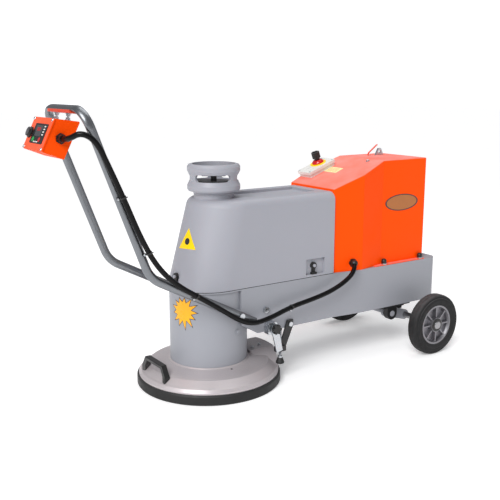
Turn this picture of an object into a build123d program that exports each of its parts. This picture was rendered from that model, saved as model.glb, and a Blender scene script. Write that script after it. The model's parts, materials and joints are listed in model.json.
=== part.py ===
"""Walk-behind planetary floor grinder, in millimetres.

Positions are set out from the grinding head's upright axis at X = 0, with the floor at Z = 0,
the wheels towards +X and the operator's handle towards -X. The finished parts are written
about the middle of the machine's length, ORIGIN_X along from the head axis.
"""
from build123d import *
import math
import os

# ---------------------------------------------------------------- driving dimensions
ORIGIN_X = 205.44            # head axis to the middle of the overall length

HEAD_R = 144.0              # steel tube round the motor
HEAD_WALL = 5.0
COVER_R = 262.0             # aluminium cover's rim
COVER_WALL = 6.0
COVER_TOP = 92.0
PLINTH_TOP = 97.0            # cast step on the cover behind the head tube
SKIRT_R = 269.0             # rubber dust skirt
SKIRT_TOP = 37.0

BASE_BOTTOM = 193.0         # box frame between head and wheels
BASE_TOP = 370.0
BASE_HALF = 146.0
BASE_WIDE = 160.0
NARROW_END = 481.0          # the frame begins to widen here
WIDE_START = 614.0
BASE_REAR = 1043.0
SHEET = 4.0

CABINET_HALF = 136.0
CABINET_FOLD = 736.0        # slope ends and flat roof begins
CABINET_REAR = 976.0
CABINET_LOW = 697.0
CABINET_HIGH = 793.0
CABINET_SHEET = 2.5
FOLD_R = 4.0                 # outside radius of the cabinet's folds

TANK_HALF = 145.0
TANK_TOP = 688.0
TANK_RAKE = 90.0            # how far the nose leans back over its height
TANK_WALL = 6.0
COLLAR_X = 29.0
COLLAR_R = 96.0
COLLAR_TOP = 810.0
FACING_WINDOW = 236.0        # direction of one collar window, turned from +X

WHEEL_R = 125.0
WHEEL_WIDTH = 52.0
WHEEL_OUT = 301.0           # wheel's outer face from the middle plane
AXLE_X = 909.0
AXLE_R = 12.5
ARM_X, ARM_Z = 800.0, 155.0

PIVOT_X, PIVOT_Z = 35.0, 280.0
LEG_Y = 165.0
TUBE_DEEP, TUBE_WIDE = 15.0, 9.0     # half sizes of the flat-oval handle tube

MODULE = 4.5
SUN_TEETH, PLANET_TEETH, RING_TEETH = 30, 30, 90
GEAR_LOW, GEAR_HIGH = 50.0, 66.0
ORBIT_R = MODULE * (SUN_TEETH + PLANET_TEETH) / 2
SHAFT_R = 15.0
SPINDLE_R = 12.5
RUN = 0.05                  # radial running clearance
GAP = 0.3                   # clearance between parts that only stand side by side

CABLE_R = 9.0
CABLE_ROUTE = [
    (-567, -107.3, 925), (-567, -146, 925), (-540, -184, 948), (-497, -193, 922),
    (-456, -191, 836), (-407, -188, 728), (-358, -187, 610), (-303, -187, 508),
    (-232, -187, 436), (-147, -188, 381), (-60, -190, 324), (15, -193, 271),
    (75, -193, 250), (150, -191, 259), (245, -187, 284), (350, -185, 297),
    (440, -183, 314), (508, -186, 343), (549, -190, 379), (562.7, -172.1, 396.8),
]
CABLE_CUTS = (9, 13)        # the flexing stretch lies between the middles of these two runs

AXES = {"X": (1, 0, 0), "Y": (0, 1, 0), "Z": (0, 0, 1)}
parts = {}


# ---------------------------------------------------------------- drawing helpers
def rod(x, y, z, radius, length, axis="Z", bore=0.0):
    """Cylinder or tube that starts at (x, y, z) and runs along +axis."""
    section = Circle(radius)
    if bore:
        section = section - Circle(bore)
    return extrude(Plane(origin=(x, y, z), z_dir=AXES[axis]) * section, amount=length)


def block(x0, x1, y0, y1, z0, z1):
    """Box between two corners."""
    middle = Pos((x0 + x1) / 2, (y0 + y1) / 2, (z0 + z1) / 2)
    return middle * Box(x1 - x0, y1 - y0, z1 - z0)


def side_profile(points, y0, y1):
    """Outline drawn in X and Z, between two Y planes."""
    plane = Plane(origin=(0, y0, 0), x_dir=(1, 0, 0), z_dir=(0, -1, 0))
    return extrude(plane * make_face(Polyline(points, close=True)), amount=y0 - y1)


def plan_profile(points, z0, z1):
    """Outline drawn in X and Y, between two heights."""
    return extrude(Pos(0, 0, z0) * make_face(Polyline(points, close=True)), amount=z1 - z0)


def turned(points):
    """Solid of revolution about Z from (radius, height) points."""
    return revolve(Plane.XZ * make_face(Polyline(points, close=True)), Axis.Z)


def turned_y(points):
    """Solid of revolution about Y from (radius, y) points."""
    return Rot(-90, 0, 0) * turned(points)


def hex_head(x, y, z, across, height, axis="Z"):
    """Bolt head or nut with its base at (x, y, z)."""
    section = RegularPolygon(across / 2, 6, major_radius=False)
    return extrude(Plane(origin=(x, y, z), z_dir=AXES[axis]) * section, amount=height)


def other_side(shape):
    """The same shape on the machine's far side."""
    return mirror(shape, about=Plane.XZ)


def both_sides(shape):
    return [shape, other_side(shape)]


def add(name, *solids):
    parts[name] = list(solids)


# ---------------------------------------------------------------- frame and head housing
def base_outline(inset=0.0):
    """Plan of the box frame, narrow at the head and wide under the cabinet."""
    near, wide = BASE_HALF - inset, BASE_WIDE - inset
    rear = BASE_REAR - inset
    half = [(30, near), (NARROW_END, near), (WIDE_START, wide), (rear, wide)]
    return half + [(x, -y) for x, y in reversed(half)]


def rounded_base(inset, z0, z1):
    solid = plan_profile(base_outline(inset), z0, z1)
    corners = solid.edges().filter_by(Axis.Z).sort_by(Axis.X)[-2:]
    return fillet(corners, 40 - inset)


def chassis_base():
    """Welded box frame: side walls, deck, rounded rear, and a saddle round the head tube."""
    box = rounded_base(0, BASE_BOTTOM, BASE_TOP) - rounded_base(SHEET, BASE_BOTTOM - 1, BASE_TOP - SHEET)
    saddle_r = BASE_HALF + SHEET
    nose = rod(0, 0, BASE_TOP - SHEET, saddle_r, SHEET)
    saddle = rod(0, 0, BASE_BOTTOM, saddle_r, BASE_TOP - BASE_BOTTOM)
    shell = box + nose + (saddle & block(51, 200, -200, 200, BASE_BOTTOM, BASE_TOP))
    shell -= rod(0, 0, BASE_BOTTOM - 5, HEAD_R + GAP, BASE_TOP - SHEET - BASE_BOTTOM + 5)
    front = [(-200, 150), (140, 150), (122, BASE_BOTTOM), (51, 236), (51, BASE_TOP - SHEET),
             (-200, BASE_TOP - SHEET)]
    shell -= side_profile(front, -200, 200)
    shell -= rod(90, 0, BASE_TOP - 20, 20, 30)
    shell -= rod(PIVOT_X, -200, PIVOT_Z, 18 + GAP, 400, "Y")
    shell -= block(760, 920, -95, 95, BASE_TOP - 20, BASE_TOP + 1)
    for side in (-1, 1):
        for x, z, hole in ((157, 278, 6.1), (178, 209, 6.0 + RUN), (266, 206, 5.1)):
            shell -= rod(x, side * 155 - 20, z, hole, 40, "Y")
        for x in (744, 948):
            shell -= rod(x, side * 148, BASE_TOP - 20, 4.1, 30)
    return shell


def head_housing():
    """Tube round the motor, with a foot flange, a lid and the two handle bosses."""
    top = BASE_TOP - SHEET - GAP
    tube = rod(0, 0, COVER_TOP + GAP, HEAD_R, top - COVER_TOP - GAP, bore=HEAD_R - HEAD_WALL)
    tube += rod(0, 0, COVER_TOP + GAP, HEAD_R - 2, 12, bore=112)
    tube += rod(0, 0, top - 6, HEAD_R - 2, 6)
    tube -= rod(90, 0, top - 10, 20, 20)
    for side in (-1, 1):
        start = min(side * 134, side * (LEG_Y - TUBE_WIDE - 1.0))
        tube += rod(PIVOT_X, start, PIVOT_Z, 18, LEG_Y - TUBE_WIDE - 1.0 - 134, "Y")
        tube -= rod(PIVOT_X, side * 145 - 40, PIVOT_Z, 6.05, 80, "Y")
    for turn in range(6):
        angle = math.radians(60 * turn + 30)
        tube -= rod(126 * math.cos(angle), 126 * math.sin(angle), COVER_TOP - 5, 5.1, 30)
    return tube


def head_bolts():
    """Bolts that hold the head tube down on the cover."""
    bolts = []
    for turn in range(6):
        angle = math.radians(60 * turn + 30)
        x, y = 126 * math.cos(angle), 126 * math.sin(angle)
        bolts.append(rod(x, y, 82.5, 5, 22) + hex_head(x, y, 104.5, 16, 7))
    return bolts


# ---------------------------------------------------------------- grinding head
def cover_outer():
    """Outside of the dished cover, as a solid."""
    return turned([(0, SKIRT_TOP), (COVER_R, SKIRT_TOP), (COVER_R, 43), (254, 53), (246, 57),
                   (223, 75), (212, 78), (150, 88), (146, COVER_TOP), (0, COVER_TOP)])


PLINTH_BOLTS = ((172, -38), (213, -24))


def plinth():
    """Cast step behind the head tube, flat on top and sloping down at both flanks to the dish."""
    outline = [(-158, 40), (-150, 45), (-60, PLINTH_TOP), (60, PLINTH_TOP), (150, 45), (158, 40)]
    across = Plane(origin=(HEAD_R + 2, 0, 0), x_dir=(0, 1, 0), z_dir=(1, 0, 0))
    bar = extrude(across * make_face(Polyline(outline, close=True)), amount=140)
    return bar & rod(0, 0, 40, COVER_R, 100)


def head_cover():
    """Cast cover: a dish with a thick middle plate for the motor."""
    inside = turned([(0, SKIRT_TOP - 1), (COVER_R - COVER_WALL, SKIRT_TOP - 1), (COVER_R - COVER_WALL, 42),
                     (249, 48), (218, 70), (206, 72), (140, 80), (0, 80)])
    cover = cover_outer() + plinth() - inside - rod(0, 0, 70, 17, 40)
    for turn in range(6):
        angle = math.radians(60 * turn + 30)
        cover -= rod(126 * math.cos(angle), 126 * math.sin(angle), 82.3, 5.1, 30)
    for x, y in PLINTH_BOLTS:
        cover -= rod(x, y, PLINTH_TOP - 20, 4.1, 40)
    return cover


def skirt():
    """Rubber ring under the cover's rim, down to the floor."""
    return turned([(254, 0), (266, 0), (SKIRT_R, 4), (SKIRT_R, 31), (266, SKIRT_TOP - GAP),
                   (254, SKIRT_TOP - GAP)])


def carry_handle():
    """Moulded bridge handle on the cover's front, shaped to the dish at its feet."""
    outer = [(-88, 50), (-88, 76), (-62, 115), (62, 115), (88, 76), (88, 50)]
    inner = [(-66, 40), (-66, 78), (-51, 102), (51, 102), (66, 78), (66, 40)]
    plane = Plane(origin=(-236, 0, 0), x_dir=(0, 1, 0), z_dir=(1, 0, 0))
    bridge = extrude(plane * make_face(Polyline(outer, close=True)), amount=24)
    bridge -= extrude(Pos(-5, 0, 0) * plane * make_face(Polyline(inner, close=True)), amount=34)
    bridge = fillet(bridge.edges().filter_by(lambda edge: edge.center().Z > 52), 3.5)
    return bridge - scale(cover_outer(), by=(1.001, 1.001, 1.002))


def gear_outline(teeth, addendum, dedendum, thin):
    """Points round a spur gear with straight flanks; a tooth stands on +X."""
    pitch_r = MODULE * teeth / 2
    half = MODULE * math.pi / 4 - thin
    points = []
    for index in range(teeth):
        middle = 2 * math.pi * index / teeth
        for radius, side in ((pitch_r - dedendum, -1), (pitch_r + addendum, -1),
                             (pitch_r + addendum, 1), (pitch_r - dedendum, 1)):
            slope = (radius - pitch_r) * math.tan(math.radians(20))
            angle = middle + side * (half - slope) / radius
            points.append((radius * math.cos(angle), radius * math.sin(angle)))
    return points


def spur_gear(teeth, bore, hub):
    """External gear with a raised hub."""
    gear = plan_profile(gear_outline(teeth, 0.85 * MODULE, 1.2 * MODULE, 0.35), GEAR_LOW, GEAR_HIGH)
    return gear + rod(0, 0, GEAR_LOW - 3, hub, GEAR_HIGH - GEAR_LOW + 5) - rod(0, 0, 30, bore, 60)


def ring_gear():
    """Internal gear under the cover; each planet's tooth lies in one of its gaps."""
    hollow = plan_profile(gear_outline(RING_TEETH, 1.2 * MODULE, 0.85 * MODULE, -0.35), 40, 80)
    blank = rod(0, 0, GEAR_LOW - 2, 215, GEAR_HIGH - GEAR_LOW + 4)
    return blank - Rot(0, 0, 180 / RING_TEETH) * hollow


def motor_frame():
    """Cast motor body with a foot flange and two end shields."""
    body = turned([(31, 92.3), (109, 92.3), (109, 104), (107, 104), (107, 330), (30.1, 330), (30.1, 318),
                   (100, 318), (100, 112), (31, 112)])
    for turn in range(20):
        fin = block(105, 110.5, -1.5, 1.5, 106, 326)
        body += Rot(0, 0, 18 * turn) * fin
    return body


def rotor():
    """Motor rotor with its long shaft down to the sun gear."""
    return rod(0, 0, 152, 61, 126) + rod(0, 0, 30, SHAFT_R, 320)


def bearing(x, y, z, bore, outer):
    """Upright bearing as one ring, 12 wide, on the seat below it."""
    return rod(x, y, z, outer, 12, bore=bore)


def carrier():
    """Turning plate that carries the three grinding spindles."""
    plate = rod(0, 0, 32, 206, 12) + rod(0, 0, 29, 45, 17)
    plate -= rod(0, 0, 20, 28 + RUN, 40)
    for turn in range(3):
        x, y = orbit_place(turn)
        plate -= rod(x, y, 20, 26 + RUN, 40)
        plate -= rod(*orbit_place(turn + 0.5), 20, 34, 40)
    return plate


def orbit_place(turn):
    angle = math.radians(120 * turn)
    return ORBIT_R * math.cos(angle), ORBIT_R * math.sin(angle)


def tool_plate():
    """Grinding disc with its upright spindle."""
    return rod(0, 0, 14, 112, 10) + rod(0, 0, 24, 30, 5) + rod(0, 0, 24, SPINDLE_R, 45)


def diamond_shoes():
    """Three metal-bond segments under one disc."""
    shoe = rod(0, 0, 0, 108, 14 - RUN, bore=66)
    wedge = plan_profile([(0, 0), (160, -70), (160, 70)], -1, 20)
    return [Rot(0, 0, 120 * turn + 60) * (shoe & wedge) for turn in range(3)]


def grinding_head():
    add("head_cover", head_cover())
    add("dust_skirt", skirt())
    add("carry_handle", carry_handle())
    add("ring_gear", ring_gear())
    add("motor_frame", motor_frame())
    add("motor_stator", rod(0, 0, 150, 99.7, 130, bore=62.5))
    add("motor_bearings", *[bearing(0, 0, z, SHAFT_R + RUN, 30) for z in (98, 318)])
    add("motor_rotor", rotor())
    add("sun_gear", spur_gear(SUN_TEETH, SHAFT_R + RUN, 26))
    add("carrier_plate", carrier())
    add("carrier_bearings", bearing(0, 0, 32, SHAFT_R + RUN, 28),
        *[bearing(*orbit_place(turn), 32, SPINDLE_R + RUN, 26) for turn in range(3)])
    planet = Rot(0, 0, 180 / PLANET_TEETH) * spur_gear(PLANET_TEETH, SPINDLE_R + RUN, 22)
    for turn in range(3):
        place = Rot(0, 0, 120 * turn) * Pos(ORBIT_R, 0, 0)
        add(f"planet_gear_{turn + 1}", place * planet)
        add(f"grinding_disc_{turn + 1}", place * tool_plate(), *[place * shoe for shoe in diamond_shoes()])


# ---------------------------------------------------------------- water tank
def tank_body(inset):
    """Raked tank with a half-round nose; inset makes the space inside."""
    radius = TANK_HALF - inset
    low, high = BASE_TOP + GAP + inset, TANK_TOP - inset
    lean = TANK_RAKE * (high - low) / (TANK_TOP - BASE_TOP)
    nose_x = TANK_RAKE * inset / (TANK_TOP - BASE_TOP) - 3.0
    rear = NARROW_END - GAP - inset
    outline = (Circle(radius) & Pos(-radius / 2, 0, 0) * Rectangle(radius, 2 * radius))
    outline += Pos(300, 0, 0) * Rectangle(600, 2 * radius)
    raked = extrude(Pos(nose_x, 0, low) * outline, amount=math.hypot(lean, high - low),
                    dir=(lean, 0, high - low))
    body = raked & block(-400, rear, -400, 400, low, high)
    round_r = 32.0 - inset
    tops = body.edges().filter_by(lambda edge: edge.center().Z > high - 0.1 and edge.center().X < rear - 1)
    return fillet(tops, round_r)


def collar_outside():
    """Collar round the filler: a neck, two bulging rings and a waist between them."""
    return turned([(0, TANK_TOP - 4), (73, TANK_TOP - 4), (73, 704), (80, 712), (92, 714), (COLLAR_R, 720),
                   (COLLAR_R, 734), (91, 744), (88, 752), (88, 768), (91, 776), (COLLAR_R, 786),
                   (COLLAR_R, 800), (91, 808), (84, COLLAR_TOP), (0, COLLAR_TOP)])


def collar_window():
    """Round-ended window through the collar's wall, centred on +X."""
    sector = plan_profile([(0, 0), (200, -150), (200, 150)], 749, 775)
    window = sector & rod(0, 0, 740, 120, 50, bore=60)
    for side in (-1, 1):
        post = Rot(0, 0, side * math.degrees(math.atan2(150, 200))) * rod(60, 0, 762, 13, 60, "X")
        window += post
    return window


def tank():
    """Hollow tank with its collar, top recess and latch pockets."""
    space = tank_body(TANK_WALL) - block(124, 446, -80, 80, TANK_TOP - 16, TANK_TOP)
    shell = tank_body(0) - space - block(130, 440, -74, 74, TANK_TOP - 10, TANK_TOP + 5)
    collar = collar_outside() - rod(0, 0, 732, 78, 90)
    for turn in range(3):
        collar -= Rot(0, 0, 120 * turn + FACING_WINDOW) * collar_window()
    shell += Pos(COLLAR_X, 0, 0) * collar
    shell -= rod(COLLAR_X, 0, TANK_TOP - 30, 45, 80)
    side_pocket = block(340, 440, -TANK_HALF, -TANK_HALF + 15, BASE_TOP + 2, 446)
    side_recess = block(345, 435, -160, -TANK_HALF + 10, 380, 441)
    nose_pocket = block(-170, -123, -33, 33, BASE_TOP + 2, 446) & tank_body(0)
    nose_recess = block(-170, -128, -28, 28, 380, 441)
    shell += side_pocket + other_side(side_pocket) + nose_pocket
    return shell - side_recess - other_side(side_recess) - nose_recess


def tank_cap():
    """Screwed filler cap with a T-shaped grip."""
    cap = rod(COLLAR_X, 0, 736.3, 56, 12)
    cap += rod(COLLAR_X, 0, 700, 44.6, 37)
    cap += rod(COLLAR_X, 0, 748, 11, 20)
    bar = fillet(block(-9, 9, -44, 44, 764, 779).edges(), 4)
    return cap + Pos(COLLAR_X, 0, 0) * Rot(0, 0, FACING_WINDOW) * bar


LATCH_PLACES = ((384, -TANK_HALF + 10, -90), (384, TANK_HALF - 10, 90), (-128, 0, 180))


def latch():
    """Rubber draw latch on +X, hooked over a stud above and pinned below; its back is at X = 0."""
    strap = block(GAP, 7.0, -7, 7, 381, 420) + rod(GAP, 0, 414, 13, 8.7, "X")
    strap += block(GAP, 12.0, -12, 12, 381, 388)
    return strap - rod(0, 0, 414, 6.2, 20, "X")


def latch_stud():
    """Moulded stud on the tank that one latch hooks over."""
    return rod(-2, 0, 414, 6.0, 16, "X")


def water_tank():
    body = tank()
    for x, y, turn in LATCH_PLACES:
        body += Pos(x, y, 0) * Rot(0, 0, turn) * latch_stud()
    add("water_tank", body)
    add("tank_cap", tank_cap())
    add("rubber_latches", *[Pos(x, y, 0) * Rot(0, 0, turn) * latch() for x, y, turn in LATCH_PLACES])


# ---------------------------------------------------------------- cabinet
def cabinet_outline(inset):
    half = [(NARROW_END + inset, CABINET_HALF - inset), (WIDE_START, BASE_WIDE - inset),
            (CABINET_FOLD, CABINET_HALF - inset), (CABINET_REAR - inset, CABINET_HALF - inset)]
    return half + [(x, -y) for x, y in reversed(half)]


def cabinet_form(inset):
    """Six-sided cabinet under a sloped lid; inset makes the space inside."""
    walls = plan_profile(cabinet_outline(inset), BASE_TOP + GAP, CABINET_HIGH)
    roof = [(NARROW_END - 10, BASE_TOP), (NARROW_END - 10, slope_height(NARROW_END - 10) - inset),
            (CABINET_FOLD, CABINET_HIGH - inset), (CABINET_REAR + 10, CABINET_HIGH - inset),
            (CABINET_REAR + 10, BASE_TOP)]
    form = walls & side_profile(roof, -200, 200)
    folds = form.edges().filter_by(lambda edge: edge.center().Z > BASE_TOP + 1)
    return fillet(folds, FOLD_R - inset)


def slope_height(x):
    rise = (CABINET_HIGH - CABINET_LOW) / (CABINET_FOLD - NARROW_END)
    return CABINET_LOW + rise * (x - NARROW_END)


SLOPE = math.degrees(math.atan2(CABINET_HIGH - CABINET_LOW, CABINET_FOLD - NARROW_END))


def on_slope(x, y, lift=0.0):
    """Place on the sloped lid, with local Z along its outward normal."""
    return Pos(x, y, slope_height(x)) * Rot(0, -SLOPE, 0) * Pos(0, 0, lift)


def cabinet_cover():
    cover = cabinet_form(0) - cabinet_form(CABINET_SHEET)
    cover -= plan_profile(cabinet_outline(CABINET_SHEET), BASE_TOP - 5, BASE_TOP + 5)
    lip = plan_profile([(690, -158), (966, -158), (966, -CABINET_HALF + 1), (690, -CABINET_HALF + 1)],
                       BASE_TOP + GAP, BASE_TOP + 3)
    cover += (lip - cabinet_form(CABINET_SHEET)) + (other_side(lip) - cabinet_form(CABINET_SHEET))
    for x in (744, 948):
        for side in (-1, 1):
            cover -= rod(x, side * 148, BASE_TOP - 5, 4.1, 20)
    cover -= block(CABINET_REAR - 10, CABINET_REAR + 5, -110, 110, 400, 760)
    cover -= extrude(CABINET_GLAND * Circle(10.2), amount=10, both=True)
    for y in (-117, 117):
        for z in (394, 580, 766):
            cover -= rod(CABINET_REAR - 20, y, z, 3.1, 30, "X")
    return cover - (on_slope(*ISOLATOR_BOX, -10) * Cylinder(14, 30))


def rear_panel():
    """Screwed back panel with cooling louvres, a fan hole and the power inlet's hole."""
    panel = block(CABINET_REAR + GAP, CABINET_REAR + 3.3, -124, 124, 386, 774)
    for row in range(9):
        z = 600 + 16 * row
        panel -= block(CABINET_REAR - 5, CABINET_REAR + 10, -90, 90, z, z + 6)
    panel -= rod(CABINET_REAR - 5, 50, 490, 52, 20, "X")
    panel -= rod(CABINET_REAR - 5, -62, 450, 27.2, 20, "X")
    for y in (-117, 117):
        for z in (394, 580, 766):
            panel -= rod(CABINET_REAR - 5, y, z, 3.1, 20, "X")
    return panel


def panel_screws():
    return [rod(CABINET_REAR - 8, y, z, 3, 11.5, "X") + rod(CABINET_REAR + 3.5, y, z, 6, 3, "X")
            for y in (-117, 117) for z in (394, 580, 766)]


def cap_knobs():
    """Domed cap nuts that hold the cabinet's lip to the deck."""
    knobs = []
    for side in (-1, 1):
        for x in (744, 948):
            dome = turned([(0, 377.3), (10.5, 377.3), (10.5, 388), (9, 392.5), (6, 395.5), (0, 397)])
            knobs.append(Pos(x, side * 148, 0) * (dome + rod(0, 0, 360, 4, 19)))
    return knobs


def knob_washers():
    return [rod(x, side * 148, 374, 11.5, 3, bore=4.2) for side in (-1, 1) for x in (744, 948)]


ISOLATOR_BOX = (595, 106)
ISOLATOR_GRIP = (611, 112)


def isolator():
    """Main isolator on the slope: box, round escutcheon, cupped base and the turning grip."""
    plate = fillet((on_slope(*ISOLATOR_BOX, 12.8) * Box(141, 84, 25)).edges(), 2.5)
    cup = Cone(24, 15, 13) - Cylinder(8.5, 20)
    add("isolator_box", plate, on_slope(*ISOLATOR_GRIP, 26.8) * Cylinder(33, 3),
        on_slope(*ISOLATOR_GRIP, 34.9) * cup)
    upright = (Align.CENTER, Align.CENTER, Align.MIN)
    grip = Cylinder(7.5, 30, align=upright) + Pos(0, 0, 20) * Cylinder(17, 26, align=upright)
    for turn in range(6):
        grip -= Rot(0, 0, 60 * turn) * Pos(19.5, 0, 34) * Cylinder(5, 60)
    grip -= Pos(0, 0, 42) * Cylinder(9, 10, align=upright)
    add("isolator_knob", on_slope(*ISOLATOR_GRIP, 29) * grip)


def cabinet():
    add("cabinet_cover", cabinet_cover())
    add("rear_panel", rear_panel())
    add("cap_knobs", *cap_knobs())
    isolator()
    inverter = block(560, 700, -80, 80, BASE_TOP + GAP, 640)
    for fin in range(12):
        inverter -= block(690, 705, -70 + 12 * fin, -64 + 12 * fin, 420, 630)
    add("inverter", inverter)
    add("cooling_fan_frame", fan_frame())
    rotor_hub = rod(948, 50, 490, 20, 20, "X")
    for turn in range(7):
        blade = Pos(0, 0, 32) * Rot(0, 0, 30) * Box(14, 3, 30)
        rotor_hub += Pos(958, 50, 490) * Rot(360 / 7 * turn, 0, 0) * blade
    add("cooling_fan_rotor", rotor_hub - rod(940, 50, 490, 4 + RUN, 40, "X"))
    inlet = turned([(0, 0), (34, 0), (34, 5), (27, 5), (27, 44), (23, 44), (23, 12), (0, 12)])
    pins = [rod(CABINET_REAR + 16, -62 + 13 * math.cos(a), 450 + 13 * math.sin(a), 2.8, 22, "X")
            for a in (math.radians(90 + 72 * pin) for pin in range(5))]
    add("power_inlet", Pos(CABINET_REAR + 3.6, -62, 450) * Rot(0, 90, 0) * inlet, *pins)
    add("cabinet_gland", elbow_gland())


def fan_frame():
    frame = block(946, 971, -10, 110, 430, 550) - rod(940, 50, 490, 55, 40, "X")
    spider = block(946, 949.5, -6, 106, 485, 495) + block(946, 949.5, 45, 55, 434, 546)
    spider = spider & block(941, 946.9, -200, 200, 400, 600)
    post = rod(942, 50, 490, 4, 26, "X")
    backing = block(942, 946.9, -10, 110, 484, 496) + block(942, 946.9, 44, 56, 430, 550)
    return frame + spider + backing + post


CABINET_GLAND = Plane(origin=(569.9, -152.4, 403), z_dir=(-0.1776, -0.9841, 0))


def elbow_gland():
    """Gland whose round boot turns the cable down towards the deck."""
    foot = extrude(CABINET_GLAND * RegularPolygon(15, 6, major_radius=False), amount=8)
    neck = extrude(CABINET_GLAND * Circle(9.9), amount=-6)
    heart = CABINET_GLAND.offset(14).origin
    out = (Vector(*CABLE_ROUTE[-2]) - Vector(*CABLE_ROUTE[-1])).normalized()
    boot = Pos(*heart) * Sphere(14)
    mouth = Plane(origin=CABLE_ROUTE[-1], z_dir=out)
    return foot + neck + boot - extrude(mouth * Circle(20), amount=20)


def gland(plane, length):
    """Cable gland: hexagon foot and a tapered nose, bored for the cable."""
    foot = extrude(plane * RegularPolygon(15, 6, major_radius=False), amount=8)
    neck = extrude(plane * Circle(9.9), amount=-6)
    nose = extrude(plane.offset(8) * Circle(13.5), amount=length - 8, taper=8)
    return foot + neck + nose


# ---------------------------------------------------------------- wheels
def hub():
    """Cast wheel centre with a rim, a web and eight ribs, standing on the XZ plane."""
    rim = turned_y([(74, -21), (81, -21), (81, 21), (74, 21), (70, 12), (70, -12)])
    web = turned_y([(26, -3), (72, -3), (72, 3), (26, 3)])
    boss = turned_y([(18.05, -23), (30, -23), (30, 23), (18.05, 23)])
    centre = rim + web + boss
    for turn in range(8):
        rib = side_profile([(27, -2.5), (73, -2.5), (73, 2.5), (27, 2.5)], -18, 18)
        centre += Rot(0, 45 * turn, 0) * rib
    return centre


def tyre():
    """Solid rubber tyre with a stepped shoulder."""
    half = WHEEL_WIDTH / 2
    return turned_y([(81, -half + 3), (100, -half), (108, -half), (112, -half + 4), (118, -half + 4),
                     (WHEEL_R, -half + 9), (WHEEL_R, half - 9), (118, half - 4), (112, half - 4),
                     (108, half), (100, half), (81, half - 3)])


def arm_stop():
    """Rubber buffer on a plate that crosses under the frame's edge, resting on the arm."""
    plate = block(864, 894, -156, -92, 187, 192.7)
    return plate + rod(879, -110, 159, 11, 28.5)


def wheels():
    middle = WHEEL_OUT - WHEEL_WIDTH / 2
    rings = []
    for side, name in ((-1, "near"), (1, "far")):
        place = Pos(AXLE_X, side * middle, WHEEL_R)
        add(f"tyre_{name}", place * tyre())
        add(f"hub_{name}", place * hub())
        rings += [place * turned_y([(AXLE_R + RUN, y), (18, y), (18, y + 12), (AXLE_R + RUN, y + 12)])
                  for y in (-22, 10)]
    add("wheel_bearings", *rings)
    axle = rod(AXLE_X, -middle - 24, WHEEL_R, AXLE_R, 2 * middle + 48, "Y")
    add("axle", axle, *both_sides(turned_ring(AXLE_X, -middle - 30.3, WHEEL_R)))
    near, far = both_sides(arm_side())
    add("wheel_arms", near + far + rod(ARM_X, -152, ARM_Z, 12, 304, "Y"))
    add("pillow_blocks", *both_sides(pillow_block()))
    add("arm_stops", *both_sides(arm_stop()))


def turned_ring(x, y, z):
    """Cap and washer that hold a wheel on the axle's end."""
    return Pos(x, y, z) * turned_y([(0, 0), (14, 0), (17, 3), (17, 6), (0, 6)])


def arm_side():
    """Flat arm from the pivot shaft down to the axle."""
    dx, dz = AXLE_X - ARM_X, WHEEL_R - ARM_Z
    bar = SlotCenterToCenter(math.hypot(dx, dz), 42)
    plane = Plane(origin=(ARM_X + dx / 2, -104, ARM_Z + dz / 2), x_dir=(dx, 0, dz), z_dir=(0, -1, 0))
    arm = extrude(plane * bar, amount=12)
    arm -= rod(ARM_X, -140, ARM_Z, 12.05, 60, "Y")
    return arm - rod(AXLE_X, -140, WHEEL_R, AXLE_R + RUN, 60, "Y")


def pillow_block():
    """Bearing block with its foot plate, bolted up under the frame."""
    foot = block(742, 858, -158, -122, 184, 192.7)
    boss = rod(ARM_X, -150, ARM_Z, 26, 24, "Y") + block(774, 826, -150, -126, ARM_Z, 186)
    return foot + boss - rod(ARM_X, -170, ARM_Z, 12 + RUN, 60, "Y")


# ---------------------------------------------------------------- parking stand
def stands():
    """On each side: a strut and a link meet at a bracket that carries a levelling foot."""
    strut = side_profile([(254, 222), (280, 222), (280, 196), (243, 112), (218, 124)], -153.3, -147.3)
    strut -= rod(266, -170, 206, 5 + RUN, 60, "Y")
    link = side_profile([(165, 200), (172, 222), (192, 220), (214, 120), (188, 114)], -178, -173)
    link -= rod(178, -190, 209, 6 + RUN, 60, "Y")
    bracket = block(192, 234, -172.7, -153.6, 112, 132) - rod(213, -163, 100, 5 + RUN, 60)
    add("stand_struts", *both_sides(strut), *both_sides(bracket))
    pad = turned([(0, 88), (9, 88), (16, 72), (16, 66), (12, 64), (0, 64)])
    foot = Pos(213, -163, 0) * (pad + rod(0, 0, 84, 5, 120) + hex_head(0, 0, 88, 17, 5))
    ear = fillet(block(152, 192, -172.7, -146.3, 186, 232).edges().filter_by(Axis.Y), 8)
    spacer = ear - rod(178, -180, 209, 6 + RUN, 40, "Y")
    knob = rod(178, -196, 209, 12, 17.7, "Y")
    for turn in range(6):
        knob += Pos(178, 0, 209) * Rot(0, 60 * turn, 0) * rod(13, -196, 0, 6.2, 13, "Y")
    knob += rod(178, -179, 209, 6, 45, "Y")
    add("stand_links", *both_sides(link), *both_sides(spacer))
    for name, flip in (("near", False), ("far", True)):
        add(f"star_knob_{name}", other_side(knob) if flip else knob)
        add(f"levelling_foot_{name}", other_side(foot) if flip else foot)


def fasteners():
    """Every bolt, screw, nut and washer that stays on the frame, and the lifting lug on the roof."""
    lug = side_profile([(876, 793.3), (921, 793.3), (906, 822), (892, 822)], 62, 70)
    lug -= rod(899, 50, 808, 7, 40, "Y")
    side_bolt = rod(157, -146.3, 278, 6, 20, "Y") + hex_head(157, -154, 278, 22, 7.7, "Y")
    strut_bolt = rod(266, -153.6, 206, 5, 16, "Y") + hex_head(266, -160, 206, 17, 6.4, "Y")
    cover_bolts = [rod(x, y, PLINTH_TOP - 16, 4, 16) + hex_head(x, y, PLINTH_TOP, 13, 5.5)
                   for x, y in PLINTH_BOLTS]
    add("frame_fasteners", *head_bolts(), *cover_bolts, *both_sides(side_bolt), *both_sides(strut_bolt),
        *pivot_bolts(), *panel_screws(), *knob_washers(), lug)


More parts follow.
